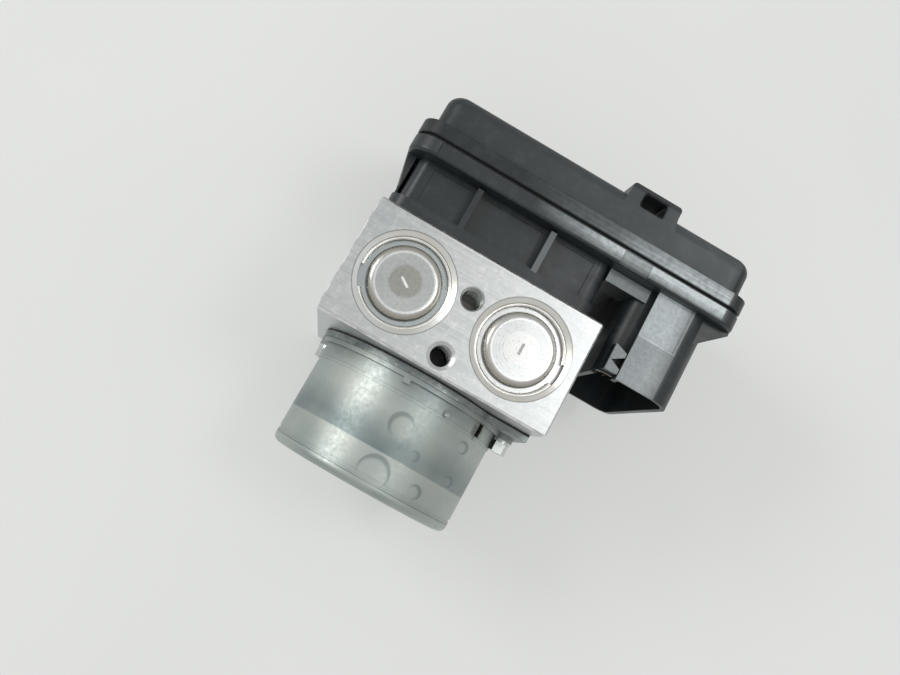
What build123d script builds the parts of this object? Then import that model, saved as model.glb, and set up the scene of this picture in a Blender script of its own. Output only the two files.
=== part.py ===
from build123d import *
import os
from math import cos, radians, sin

# Anti-lock brake modulator: a drilled valve block with two low-pressure accumulators and two pump
# elements, a round pump motor on its front and a moulded control unit on its back.
# Millimetres, +Z up. The origin is the centre of the block's port face, on which the module rests.
# +X runs along the block towards the connector, +Y from the motor to the control unit.

# ---- Fits ----
seat_gap = 0.02  # between a piece and the seat that it is pressed or glued into
slide_gap = 0.05  # radial running clearance of what slides or turns
loose_gap = 0.3  # around screws and leads that pass through a hole

# ---- Valve block ----
block_length = 80.0
block_depth = 40.0
block_height = 88.0
block_edge = 0.6

# ---- Threaded mounting holes in the top face ----
mount_hole_radius = 3.4  # tapping bore of an M8 thread
mount_hole_sink = 0.52
mount_hole_back = 5.9
mount_hole_back_length = 14.0
mount_hole_back_mouth = 3.92
mount_hole_front = -14.2
mount_hole_front_length = 17.0
mount_hole_front_mouth = 4.5

# ---- Brake line ports in the port face ----
port_length = 12.0
port_mouth = 0.8
wheel_port_radius = 4.5  # tapping bore of an M10 x 1 thread
wheel_port_spacing = 18.5
wheel_port_row = -9.0
master_port_radius = 5.5  # tapping bore of an M12 x 1 thread
master_port_spacing = 36.0
master_port_row = 9.0

# ---- Low-pressure accumulators, one each side of the middle, axes along Z ----
accumulator_offset = 20.6
accumulator_radius = 11.5
accumulator_length = 27.0
cap_mouth_radius = 16.2
cap_mouth_slope = 1.0
cap_bore_radius = 14.6
cap_seat_length = 4.6
cap_sheet = 1.5
cap_hat_radius = 11.8
cap_top_drop = 0.4
cap_top_round = 2.3
cap_mark_length = 3.8
cap_mark_width = 0.9
cap_mark_drop = 0.3
ring_wire_radius = 0.8
ring_bite = 0.4
ring_gap_angle = 30.0
piston_length = 10.0
piston_base = 3.0
piston_wall = 2.9
piston_travel = 8.0
seal_section_radius = 0.9
seal_lift = 2.0
accumulator_wire_radius = 0.8
accumulator_turns = 5

# ---- Pump: shaft, eccentric and two plungers opposite each other along X ----
motor_axis_drop = 17.0  # of the pump's and motor's axis below the accumulators' floors
pump_row = -7.0
eccentric_bore_radius = 14.0
eccentric_bore_end = 0.5
eccentric_offset = 1.0
eccentric_radius = 6.5
eccentric_ring_radius = 11.0
eccentric_width = 9.0
pump_bore_radius = 6.0
sleeve_start = 15.2
sleeve_length = 16.8
plunger_radius = 3.0
plunger_length = 10.2
plunger_collar_radius = 4.2
plunger_collar_length = 1.8
spring_chamber_radius = 4.7
plunger_wire_radius = 0.45
plunger_turns = 6
pump_plug_recess = 0.4
pump_plug_radius = 7.2
pump_plug_seat = 4.0

# ---- Motor: end plate, can, magnets and rotor, axis along Y ----
gasket_thickness = 0.6
end_plate_thickness = 2.0
end_plate_lip = 2.5  # past the can
end_plate_wing_start = 20.0
end_plate_wing_end = 39.2
end_plate_wing_rise = 26.0
end_plate_wing_thickness = 20.0
hub_length = 7.4
hub_wall = 4.8
can_radius = 33.0
can_wall = 1.8
can_length = 36.8
can_end_round = 2.4
can_flange_thickness = 1.6
can_flange_lip = 1.8
can_collar_length = 5.5
can_collar_rise = 0.25
can_groove_from_end = 4.2
can_groove_width = 0.9
can_groove_depth = 0.35
can_dimple_angle = 70.0
can_dimple_radius = 1.6
can_dimple_depth = 0.4
can_dimple_back = 3.6
can_slot_angle = 43.0
can_slot_width = 2.2
can_slot_length = 4.4
screw_pocket_wall = 1.0
can_lug_offset = -4.8
can_lug_width = 2.4
can_lug_length = 1.6
ear_radius = 3.9
screw_circle_gap = 2.6  # of the screws' axes outside the can
screw_angle_right = 12.8
screw_angle_left = 205.0
screw_radius = 2.5
screw_thread_radius = 2.1
screw_thread_length = 9.0
screw_washer_radius = 3.8
screw_washer_thickness = 1.0
screw_head_radius = 3.5
screw_head_length = 3.6
magnet_thickness = 6.4
magnet_length = 22.0
magnet_arc = 150.0
air_gap = 0.9
core_length = 18.0
core_setback = 10.2
core_slots = 12
core_slot_radius = 2.2
core_slot_circle = 18.8
core_slot_mouth = 1.2
winding_bar_gap = 0.2
winding_overhang = 3.0
winding_inner_radius = 10.0
winding_outer_radius = 21.6
shaft_radius = 4.0
rear_journal_radius = 3.0
rear_bush_radius = 6.0
rear_bush_length = 5.0
rear_pocket_wall = 1.5
front_bush_length = 7.6
commutator_radius = 8.0
commutator_length = 6.0
commutator_slots = 12
commutator_slot_width = 0.4
commutator_slot_depth = 0.9
holder_thickness = 1.8
holder_clearance = 0.9
holder_hole_radius = 9.6
brush_length = 9.0
brush_width = 5.0
brush_gap = 0.1
brush_box_wall = 1.2
lead_rise = 20.0  # above the motor's axis
lead_radius = 3.8
blade_width = 3.0
blade_thickness = 0.8
blade_pitch = 4.0

# ---- Valves, two rows of four, axes along Y ----
valve_spacing = 16.5
inlet_row_drop = 11.0  # below the accumulators' floors
outlet_row = 20.0
valve_count = 4
valve_radius = 5.0
valve_length = 16.0
valve_dome_radius = 4.8
valve_dome_length = 15.0
valve_dome_round = 0.8
armature_bore_radius = 3.5
armature_length = 15.0
armature_start = 10.0
armature_chamber_start = 4.0
armature_travel = 0.4
stator_length = 4.0
needle_radius = 0.9
flow_radius = 0.7
coil_radius = 7.8
coil_length = 13.0
coil_lift = 1.2
frame_thickness = 0.8
frame_width = 6.0
terminal_radius = 0.5
terminal_pitch = 4.0
terminal_rise = 6.6

# ---- Control unit housing ----
foot_left = -38.4
foot_right = 36.5
foot_inset = 3.2
foot_height = 4.4
foot_corner = 6.0
wall_left = -36.3
wall_right = 35.3
wall_inset = 7.2
wall_corner = 4.3
wall_thickness = 1.8
rib_width = 2.0
rib_places = (-14.2, 12.7)
rib_short = 0.8
panel_margin = 1.6
panel_drop = 0.4
flange_left = -41.1
flange_right = 78.9
flange_low = 2.0
flange_left_corner = 8.0
flange_right_corner = 6.0
flange_base = 39.5
flange_thickness = 5.6
flange_lip_round = 1.2
flange_rim = 3.4
flange_edge = 0.4
floor_thickness = 1.8
recess_start = 35.0
recess_end = 45.2
recess_depth = 0.35
step_place = -32.2
step_width = 0.4
bar_root = 0.3
bar_end = 50.2
bar_height = 4.6
bar_depth = 14.0
skirt_low = 14.0
skirt_inset = 11.0
skirt_root = 2.0
skirt_setback = 0.4
skirt_thickness = 0.6
skirt_flare = 10.8
skirt_end_gap = 0.2
web_low = 20.0
web_inset = 5.5
web_thickness = 2.4
web_start = 69.0
web_drop = 9.6
web_lip = 0.8
boss_radius = 3.6
boss_rise = 12.0
boss_web = 2.4
housing_screw_radius = 1.65
housing_screw_circle = 2.0
housing_screw_length = 8.0
housing_screw_head = 3.4
housing_screw_head_length = 3.0
housing_screw_offset = 30.0
housing_screw_drop = 13.0  # of the upper screws below the block's top
seal_width = 1.7
seal_height = 1.2
seal_inset = 0.6

# ---- Connector shroud, open towards -Y ----
shroud_mouth = 7.7
shroud_left = 45.7
shroud_far = 16.0
shroud_near_inset = 4.0
shroud_right = 72.7
shroud_panel_left = 52.0
shroud_strip_depth = 4.4
shroud_strip_setback = 0.9
shroud_near_corner = 8.0
shroud_strip_corner = 4.8
shroud_far_corner = 6.0
shroud_wall = 1.6
shroud_socket = 24.0
shroud_floor = 2.0
shroud_panel_step = 24.0
shroud_panel_drop = 0.35
latch_drop = 0.4
latch_start = 9.1
latch_end = 18.0
latch_slope = 1.5
latch_width = 4.4
latch_gap = 0.3
latch_bridge = 0.6
latch_fork = 12.6
latch_fork_rise = 2.6
latch_fork_fall = 1.9
pin_window_width = 9.0
pin_window_length = 42.0
pin_window_left = 54.0
pin_window_low = 27.0
pin_size = 0.64
pin_rows = 3
pin_columns = 12
pin_row_pitch = 2.8
pin_column_pitch = 3.4
pin_reach = 14.0
carrier_lip = 1.5
carrier_thickness = 1.5

# ---- Lid and board ----
gasket_height = 0.8
gasket_inset = 1.4
gasket_width = 1.4
lid_flange_thickness = 4.9
lid_inset = 3.6
lid_inset_left = 3.5
lid_inset_right = 2.0
lid_height = 18.1
lid_corner = 6.2
lid_round = 4.4
lid_wall = 2.0
tab_left = 27.9
tab_right = 46.2
tab_rise = 3.8
tab_root = 5.0
tab_length = 14.4
tab_corner = 1.3
tab_flare = 0.8
slot_left = 33.0
slot_right = 41.6
slot_height = 4.8
slot_top_wall = 1.6
slot_corner = 0.9
slot_bevel = 0.5
board_gap = 0.5
board_thickness = 1.6
board_inset = 4.6
board_corner = 3.0
board_pad = 3.0
processor_size = 14.0
driver_size = 10.0
chip_height = 1.6
capacitor_radius = 4.0
capacitor_height = 9.0
choke_size = 8.0
choke_height = 6.0

# ---- Places worked out from the sizes above ----
accumulator_floor = block_height - accumulator_length
motor_axis_height = accumulator_floor - motor_axis_drop
lead_height = motor_axis_height + lead_rise
inlet_row = accumulator_floor - inlet_row_drop
end_plate_radius = can_radius + end_plate_lip
can_flange_radius = can_radius + can_flange_lip
screw_circle_radius = can_radius + screw_circle_gap
front_face = -block_depth / 2
back_face = block_depth / 2
gasket_front = front_face - gasket_thickness
plate_front = gasket_front - end_plate_thickness
can_flange_front = plate_front - can_flange_thickness
can_end = can_flange_front - can_length
can_floor = can_end + can_wall
can_inner_radius = can_radius - can_wall
hub_radius = eccentric_bore_radius - slide_gap
front_bush_radius = hub_radius - hub_wall
core_radius = can_inner_radius - seat_gap - magnet_thickness - air_gap
core_front = can_flange_front - core_setback
core_back = core_front - core_length
valve_floor = back_face - valve_length
valve_dome_end = back_face + valve_dome_length
chamber_start = valve_floor + armature_chamber_start
chamber_end = valve_dome_end - stator_length
cap_seat = block_height - cap_seat_length
cap_flange_top = cap_seat + cap_sheet
cap_top = block_height - cap_top_drop
cap_inner_top = cap_top - cap_sheet
ring_radius = cap_bore_radius + ring_bite - ring_wire_radius
piston_radius = accumulator_radius - slide_gap
eccentric_ring_bore = eccentric_radius + slide_gap
plunger_tip = eccentric_ring_radius + eccentric_offset + slide_gap
plunger_end = plunger_tip + plunger_length
collar_start = plunger_end - plunger_collar_length
chamber_floor = collar_start - eccentric_offset - 2 * slide_gap
plug_start = sleeve_start + sleeve_length
sleeve_end = plug_start
foot_top = back_face + foot_height
flange_top = flange_base + flange_thickness
floor_top = flange_base + floor_thickness
gasket_top = flange_top + gasket_height
lid_flange_top = gasket_top + lid_flange_thickness
lid_top = gasket_top + lid_height
board_low = floor_top + board_gap
board_top = board_low + board_thickness
socket_floor = shroud_mouth + shroud_socket
socket_back = socket_floor + shroud_floor
flange_high = block_height
wall_low = flange_low + wall_inset
wall_high = flange_high - wall_inset
shroud_near = flange_high - shroud_near_inset
shroud_strip = shroud_near - shroud_strip_depth
foot_low = flange_low + foot_inset
foot_high = flange_high - foot_inset
coil_start = back_face + coil_lift
coil_end = coil_start + coil_length
coil_bore_radius = valve_dome_radius + 2 * slide_gap
lid_low = flange_low + lid_inset
lid_high = flange_high - lid_inset
valve_places = [(i - (valve_count - 1) / 2) * valve_spacing for i in range(valve_count)]
screw_angles = (screw_angle_right, screw_angle_left)
housing_screw_rows = ((inlet_row + outlet_row) / 2, block_height - housing_screw_drop)
housing_screw_places = [
    (x, z) for x in (-housing_screw_offset, housing_screw_offset) for z in housing_screw_rows
]

ON_END = (Align.CENTER, Align.CENTER, Align.MIN)
IN_CORNER = (Align.MIN, Align.MIN, Align.MIN)


# ---- Plain solids ----
def rod_x(radius, low, high, y=0.0, z=0.0):
    """A cylinder along X."""
    return Pos(low, y, z) * Rot(0, 90, 0) * Cylinder(radius, high - low, align=ON_END)


def rod_y(radius, low, high, x=0.0, z=0.0):
    """A cylinder along Y."""
    return Pos(x, low, z) * Rot(-90, 0, 0) * Cylinder(radius, high - low, align=ON_END)


def rod_z(radius, low, high, x=0.0, y=0.0):
    """A cylinder along Z."""
    return Pos(x, y, low) * Cylinder(radius, high - low, align=ON_END)


def cone_z(low_radius, high_radius, low, high, x=0.0, y=0.0):
    """A cone along Z."""
    return Pos(x, y, low) * Cone(low_radius, high_radius, high - low, align=ON_END)


def slab(x_low, x_high, y_low, y_high, z_low, z_high):
    """A box between two corners."""
    size = (x_high - x_low, y_high - y_low, z_high - z_low)
    return Pos(x_low, y_low, z_low) * Box(*size, align=IN_CORNER)


def prism_y(outline, low, high):
    """An outline in X and Z, drawn out along Y."""
    return extrude(Plane.XZ.offset(-high) * outline, high - low)


def prism_z(points, low, high):
    """A polygon in X and Y, drawn out along Z."""
    return extrude(Pos(0, 0, low) * Polygon(*points, align=None), high - low, dir=(0, 0, 1))


def rectangle(x_low, x_high, z_low, z_high, left_corner, right_corner):
    """A rectangle in X and Z whose left and right corners may differ."""
    width = x_high - x_low
    height = z_high - z_low
    outline = Pos((x_low + x_high) / 2, (z_low + z_high) / 2) * Rectangle(width, height)
    outline = fillet(outline.vertices().group_by(Axis.X)[0], left_corner)
    return fillet(outline.vertices().group_by(Axis.X)[-1], right_corner)


def round_corner(outline, place, radius):
    """Round the corner of an outline that lies nearest to a place."""
    corner = outline.vertices().sort_by_distance((place[0], place[1], 0))[0]
    return fillet(corner, radius)


def around_motor(radius, angle):
    """X and Z of a point on a circle around the motor's axis."""
    return (
        radius * cos(radians(angle)),
        motor_axis_height + radius * sin(radians(angle)),
    )


def coil_spring(mean_radius, wire_radius, turns, length):
    """A wire coil along Z from zero to its length."""
    rise = length - 2 * wire_radius
    path = Helix(pitch=rise / turns, height=rise, radius=mean_radius)
    section = Plane(origin=path @ 0, z_dir=path % 0) * Circle(wire_radius)
    return Pos(0, 0, wire_radius) * sweep(section, path=path, is_frenet=True)


def left_of(solid):
    """The same piece on the other side of the middle."""
    return mirror(solid, about=Plane.YZ)


# ---- Hydraulic block ----
def accumulator_bore(x):
    """Stepped bore for one accumulator, with its sloped mouth and ring groove."""
    slope_low = block_height - cap_mouth_slope
    bore = rod_z(accumulator_radius, accumulator_floor, block_height, x)
    bore += rod_z(cap_bore_radius, cap_seat, block_height, x)
    bore += cone_z(cap_bore_radius, cap_mouth_radius, slope_low, block_height, x)
    groove_top = cap_flange_top + 2 * ring_wire_radius + seat_gap
    bore += rod_z(cap_bore_radius + ring_bite + slide_gap, cap_flange_top, groove_top, x)
    return bore


def port(radius, x, y):
    """A brake line port with a sloped mouth, drilled from the port face."""
    hole = rod_z(radius, 0, port_length, x, y)
    return hole + cone_z(radius + port_mouth, radius, 0, port_mouth, x, y)


def mount_hole(y, length, mouth_radius):
    """A threaded mounting hole in the top face, with a countersunk mouth."""
    bottom = block_height - length
    seat = block_height - mount_hole_sink
    hole = rod_z(mount_hole_radius, bottom, block_height, 0, y)
    return hole + cone_z(mount_hole_radius, mouth_radius, seat, block_height, 0, y)


def pump_bore():
    """One pump bore, from the eccentric's bore to the block's right end."""
    end = block_length / 2
    bore = rod_x(pump_bore_radius + seat_gap, 0, end, pump_row, motor_axis_height)
    plug_seat = end - pump_plug_recess - pump_plug_seat
    bore += rod_x(pump_plug_radius + seat_gap, plug_seat, end, pump_row, motor_axis_height)
    return bore


def hydraulic_block():
    half = block_length / 2
    block = slab(-half, half, front_face, back_face, 0, block_height)
    block = chamfer(block.edges(), block_edge)
    for x in (-accumulator_offset, accumulator_offset):
        block -= accumulator_bore(x)
    block -= mount_hole(mount_hole_back, mount_hole_back_length, mount_hole_back_mouth)
    block -= mount_hole(mount_hole_front, mount_hole_front_length, mount_hole_front_mouth)
    for i in range(4):
        block -= port(wheel_port_radius, (i - 1.5) * wheel_port_spacing, wheel_port_row)
    for side in (-1, 1):
        block -= port(master_port_radius, side * master_port_spacing / 2, master_port_row)
    block -= rod_y(eccentric_bore_radius, front_face, eccentric_bore_end, 0, motor_axis_height)
    right_bore = pump_bore()
    block -= right_bore
    block -= left_of(right_bore)
    for z in (inlet_row, outlet_row):
        for x in valve_places:
            block -= rod_y(valve_radius + seat_gap, valve_floor, back_face, x, z)
    for angle in screw_angles:
        x, z = around_motor(screw_circle_radius, angle)
        block -= rod_y(screw_thread_radius, front_face, front_face + screw_thread_length, x, z)
    for x, z in housing_screw_places:
        hole_end = back_face - housing_screw_length
        block -= rod_y(housing_screw_radius, hole_end, back_face, x, z)
    return block - rod_y(lead_radius + loose_gap, front_face, back_face, 0, lead_height)


# ---- Accumulators ----
def accumulator_cap(mark_angle):
    """Drawn sheet cap like a hat, with its brim on the seat and a pressed dash on its crown."""
    x = accumulator_offset
    brim = rod_z(cap_bore_radius - slide_gap, cap_seat, cap_flange_top, x)
    hat = rod_z(cap_hat_radius, cap_seat, cap_top, x)
    hat = fillet(hat.edges().sort_by(Axis.Z)[-1], cap_top_round)
    hollow = rod_z(cap_hat_radius - cap_sheet, cap_seat, cap_inner_top, x)
    mark = Box(cap_mark_length, cap_mark_width, 2 * cap_mark_drop)
    return brim + hat - hollow - Pos(x, 0, cap_top) * Rot(0, 0, mark_angle) * mark


def cap_ring(gap_angle):
    """Round wire ring that snaps into the groove above the cap's brim."""
    centre = cap_flange_top + ring_wire_radius + seat_gap / 2
    start = gap_angle + ring_gap_angle / 2
    ring = Torus(ring_radius, ring_wire_radius, major_angle=360 - ring_gap_angle)
    return Pos(accumulator_offset, 0, centre) * Rot(0, 0, start) * ring


def seal_centre():
    """Height of the piston seal's middle."""
    return accumulator_floor + seal_lift + seal_section_radius


def accumulator_piston():
    x = accumulator_offset
    top = accumulator_floor + piston_length
    piston = rod_z(piston_radius, accumulator_floor, top, x)
    cup = piston_radius - piston_wall
    piston -= rod_z(cup, accumulator_floor + piston_base, top, x)
    groove_half = seal_section_radius + slide_gap
    groove_root = piston_radius - 2 * groove_half
    groove = rod_z(accumulator_radius, seal_centre() - groove_half, seal_centre() + groove_half, x)
    groove -= rod_z(groove_root, seal_centre() - groove_half, seal_centre() + groove_half, x)
    return piston - groove


def accumulator_seal():
    ring = Torus(piston_radius - slide_gap / 2 - seal_section_radius, seal_section_radius)
    return Pos(accumulator_offset, 0, seal_centre()) * ring


def accumulator_spring():
    low = accumulator_floor + piston_base + seat_gap
    mean_radius = piston_radius - piston_wall - accumulator_wire_radius - loose_gap
    length = cap_inner_top - seat_gap - low
    coil = coil_spring(mean_radius, accumulator_wire_radius, accumulator_turns, length)
    return Pos(accumulator_offset, 0, low) * coil


# ---- Pump ----
def pump_rod(radius, low, high):
    """A cylinder on the pump's axis."""
    return rod_x(radius, low, high, pump_row, motor_axis_height)


def pump_sleeve():
    """Steel cylinder in the pump bore: a guide for the plunger, then the spring's chamber."""
    sleeve = pump_rod(pump_bore_radius, sleeve_start, sleeve_end)
    sleeve -= pump_rod(plunger_radius + slide_gap, sleeve_start, sleeve_end)
    return sleeve - pump_rod(spring_chamber_radius, chamber_floor, sleeve_end)


def pump_plunger():
    plunger = pump_rod(plunger_radius, plunger_tip, plunger_end)
    return plunger + pump_rod(plunger_collar_radius, collar_start, plunger_end)


def plunger_spring():
    low = plunger_end + seat_gap
    mean_radius = spring_chamber_radius - loose_gap - plunger_wire_radius
    length = plug_start - seat_gap - low
    coil = coil_spring(mean_radius, plunger_wire_radius, plunger_turns, length)
    return Pos(low, pump_row, motor_axis_height) * Rot(0, 90, 0) * coil


def pump_plug():
    """Plug that closes the pump bore just below the block's end face."""
    end = block_length / 2 - pump_plug_recess
    plug = pump_rod(pump_bore_radius, plug_start, end)
    return plug + pump_rod(pump_plug_radius, end - pump_plug_seat, end)


# ---- Motor ----
def motor_outline(disc_radius, low, high):
    """The motor's round foot with an ear at each screw, without holes."""
    foot = rod_y(disc_radius, low, high, 0, motor_axis_height)
    for angle in screw_angles:
        x, z = around_motor(screw_circle_radius, angle)
        foot += rod_y(ear_radius, low, high, x, z)
    return foot


def motor_screw_holes(low, high):
    """Clearance holes for the motor's screws."""
    places = [around_motor(screw_circle_radius, angle) for angle in screw_angles]
    holes = [rod_y(screw_radius + loose_gap, low, high, x, z) for x, z in places]
    return holes[0] + holes[1]


def wing(low, high):
    """Straight-sided corner of the end plate beside the right-hand screw."""
    rise = motor_axis_height + end_plate_wing_rise
    drop = rise - end_plate_wing_thickness
    return slab(end_plate_wing_start, end_plate_wing_end, low, high, drop, rise)


def plate_blank(low, high):
    """Outline shared by the end plate and its gasket, with screw and lead holes."""
    blank = motor_outline(end_plate_radius, low, high) + wing(low, high)
    blank -= motor_screw_holes(low, high)
    return blank - rod_y(lead_radius + loose_gap, low, high, 0, lead_height)


def motor_gasket():
    gasket = plate_blank(gasket_front, front_face)
    return gasket - rod_y(eccentric_bore_radius, gasket_front, front_face, 0, motor_axis_height)


def motor_end_plate():
    """End plate whose hub centres the motor in the block and holds the front bush."""
    hub_end = gasket_front + hub_length
    plate = plate_blank(plate_front, gasket_front)
    plate += rod_y(hub_radius, gasket_front, hub_end, 0, motor_axis_height)
    return plate - rod_y(front_bush_radius + seat_gap, plate_front, hub_end, 0, motor_axis_height)


def motor_can():
    """Deep-drawn can: round end, groove near it, collar and flange with two screw ears."""
    z = motor_axis_height
    can = rod_y(can_radius, can_end, plate_front, 0, z)
    can = fillet(can.edges().sort_by(Axis.Y)[0], can_end_round)
    collar_end = can_flange_front - can_collar_length
    can += rod_y(can_radius + can_collar_rise, collar_end, can_flange_front, 0, z)
    can += motor_outline(can_flange_radius, can_flange_front, plate_front)
    can -= rod_y(can_inner_radius, can_floor, plate_front, 0, z)
    pocket_radius = screw_washer_radius + loose_gap
    for angle in screw_angles:
        x, screw_z = around_motor(screw_circle_radius, angle)
        back = collar_end - screw_pocket_wall
        dent = rod_y(pocket_radius + screw_pocket_wall, back, can_flange_front, x, screw_z)
        can += dent & rod_y(can_radius, back, can_flange_front, 0, z)
        can -= rod_y(pocket_radius, collar_end, can_flange_front, x, screw_z)
    lug_x = can_lug_offset
    lug_top = z + can_radius + can_collar_rise + can_lug_width / 2
    lug_base = z + can_radius - can_wall / 2
    lug_front = can_flange_front - can_lug_length
    can += slab(
        lug_x - can_lug_width / 2, lug_x + can_lug_width / 2, lug_front, plate_front, lug_base, lug_top
    )
    pocket_end = can_floor + rear_bush_length
    can += rod_y(rear_bush_radius + seat_gap + rear_pocket_wall, can_floor, pocket_end, 0, z)
    can -= rod_y(rear_bush_radius + seat_gap, can_floor, pocket_end, 0, z)
    can -= motor_screw_holes(can_flange_front, plate_front)
    groove = can_end + can_groove_from_end
    band = rod_y(can_radius, groove, groove + can_groove_width, 0, z)
    can -= band - rod_y(can_radius - can_groove_depth, groove, groove + can_groove_width, 0, z)
    dimple_x, dimple_z = around_motor(
        can_radius + can_collar_rise + can_dimple_radius - can_dimple_depth, can_dimple_angle
    )
    can -= Pos(dimple_x, can_flange_front - can_dimple_back, dimple_z) * Sphere(can_dimple_radius)
    slot = slab(
        can_radius - 2 * can_wall, can_radius + can_wall, can_flange_front - can_slot_length,
        can_flange_front, -can_slot_width / 2, can_slot_width / 2
    )
    return can - Pos(0, 0, z) * Rot(0, -can_slot_angle, 0) * slot


def motor_screws():
    """Two flanged hexagon screws through the can's ears into the block."""
    screws = []
    for angle in screw_angles:
        x, z = around_motor(screw_circle_radius, angle)
        tip = front_face + screw_thread_length - loose_gap
        washer = can_flange_front - screw_washer_thickness
        shank = rod_y(screw_radius, can_flange_front, front_face, x, z)
        shank += rod_y(screw_thread_radius, front_face, tip, x, z)
        shank += rod_y(screw_washer_radius, washer, can_flange_front, x, z)
        hexagon = Pos(x, z) * RegularPolygon(screw_head_radius, 6)
        screws.append(shank + prism_y(hexagon, washer - screw_head_length, washer))
    return Compound(children=screws)


def magnet():
    """One of two arc magnets bonded inside the can."""
    outer = can_inner_radius - seat_gap
    low = core_back + (core_length - magnet_length) / 2
    ring = rod_y(outer, low, low + magnet_length, 0, motor_axis_height)
    ring -= rod_y(outer - magnet_thickness, low, low + magnet_length, 0, motor_axis_height)
    reach = 2 * can_radius
    half = magnet_arc / 2
    tip_x = reach * cos(radians(half))
    tip_z = reach * sin(radians(half))
    wedge = Polygon(
        (0, 0), (tip_x, -tip_z), (reach, -tip_z), (reach, tip_z), (tip_x, tip_z), align=None
    )
    return ring & prism_y(Pos(0, motor_axis_height) * wedge, low, low + magnet_length)


def front_bush():
    """Sintered bush in the end plate's hub."""
    low = plate_front + seat_gap
    bush = rod_y(front_bush_radius, low, low + front_bush_length, 0, motor_axis_height)
    return bush - rod_y(shaft_radius + slide_gap, low, low + front_bush_length, 0, motor_axis_height)


def rear_bush():
    """Sintered bush in the pocket of the can's end."""
    low = can_floor
    bush = rod_y(rear_bush_radius, low, low + rear_bush_length, 0, motor_axis_height)
    bore = rear_journal_radius + slide_gap
    return bush - rod_y(bore, low, low + rear_bush_length, 0, motor_axis_height)


def rotor_shaft():
    """Stepped shaft with the pump's eccentric turned on its free end."""
    z = motor_axis_height
    journal_end = can_floor + rear_bush_length + loose_gap
    eccentric_low = pump_row - eccentric_width / 2
    eccentric_high = pump_row + eccentric_width / 2
    shaft = rod_y(rear_journal_radius, can_floor + loose_gap, journal_end, 0, z)
    shaft += rod_y(shaft_radius, journal_end, eccentric_high, 0, z)
    return shaft + rod_y(eccentric_radius, eccentric_low, eccentric_high, 0, z - eccentric_offset)


def eccentric_ring():
    """Ring that rides on the eccentric and pushes the plungers."""
    low = pump_row - eccentric_width / 2 + loose_gap
    high = pump_row + eccentric_width / 2 - loose_gap
    z = motor_axis_height - eccentric_offset
    ring = rod_y(eccentric_ring_radius, low, high, 0, z)
    return ring - rod_y(eccentric_ring_bore, low, high, 0, z)


def slot_angles(count):
    return [360 / count * i for i in range(count)]


def armature_core():
    """Slotted iron core pressed on the shaft."""
    z = motor_axis_height
    core = rod_y(core_radius, core_back, core_front, 0, z)
    for angle in slot_angles(core_slots):
        x, slot_z = around_motor(core_slot_circle, angle)
        core -= rod_y(core_slot_radius, core_back, core_front, x, slot_z)
        half = core_slot_mouth / 2
        mouth = slab(core_slot_circle, core_radius, core_back, core_front, -half, half)
        core -= Pos(0, 0, z) * Rot(0, -angle, 0) * mouth
    return core - rod_y(shaft_radius + seat_gap, core_back, core_front, 0, z)


def winding_ring(low):
    """Round bundle of end turns beside the core."""
    high = low + winding_overhang
    ring = rod_y(winding_outer_radius, low, high, 0, motor_axis_height)
    return ring - rod_y(winding_inner_radius, low, high, 0, motor_axis_height)


def armature_winding():
    """Copper bars in the core's slots, joined by the end turns on both sides."""
    winding = winding_ring(core_back - winding_overhang) + winding_ring(core_front)
    for angle in slot_angles(core_slots):
        x, z = around_motor(core_slot_circle, angle)
        winding += rod_y(core_slot_radius - winding_bar_gap, core_back, core_front, x, z)
    return winding


def commutator():
    """Segmented copper drum on the shaft, between the core and the end plate."""
    z = motor_axis_height
    high = can_flange_front - loose_gap
    low = high - commutator_length
    drum = rod_y(commutator_radius, low, high, 0, z)
    for angle in slot_angles(commutator_slots):
        half = commutator_slot_width / 2
        root = commutator_radius - commutator_slot_depth
        slot = slab(root, commutator_radius + commutator_slot_depth, low, high, -half, half)
        drum -= Pos(0, 0, z) * Rot(0, -angle, 0) * slot
    return drum - rod_y(shaft_radius + seat_gap, low, high, 0, z)


def brush_row():
    """Y of the brushes' middle, on the commutator."""
    return can_flange_front - loose_gap - commutator_length / 2


def brush_holder():
    """Moulded plate against the end plate, with a box for each brush."""
    z = motor_axis_height
    back = plate_front
    front = back - holder_thickness
    radius = can_inner_radius - holder_clearance
    holder = rod_y(radius, front, back, 0, z) - rod_y(holder_hole_radius, front, back, 0, z)
    half = brush_width / 2 + slide_gap
    outer = half + brush_box_wall
    start = commutator_radius + brush_gap + 2
    end = commutator_radius + brush_gap + brush_length + brush_box_wall
    low = brush_row() - outer
    for side in (-1, 1):
        x_ends = sorted((side * start, side * end))
        hole_ends = sorted((side * start, side * (end - brush_box_wall)))
        holder += slab(*x_ends, low, front, z - outer, z + outer)
        holder -= slab(*hole_ends, brush_row() - half, brush_row() + half, z - half, z + half)
    return holder - rod_y(lead_radius + loose_gap, front, back, 0, lead_height)


def brush():
    """Carbon brush against the commutator's right side."""
    start = commutator_radius + brush_gap
    half = brush_width / 2
    z = motor_axis_height
    return slab(start, start + brush_length, brush_row() - half, brush_row() + half, z - half, z + half)


def motor_lead():
    """Insulated stem with two blades that takes the motor's current to the board."""
    stem_end = flange_base - loose_gap
    stem = rod_y(lead_radius, plate_front - holder_thickness, stem_end, 0, lead_height)
    for side in (-1, 1):
        x = side * blade_pitch / 2
        half_width = blade_thickness / 2
        half_height = blade_width / 2
        stem += slab(
            x - half_width, x + half_width, stem_end, board_low,
            lead_height - half_height, lead_height + half_height
        )
    return stem


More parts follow.
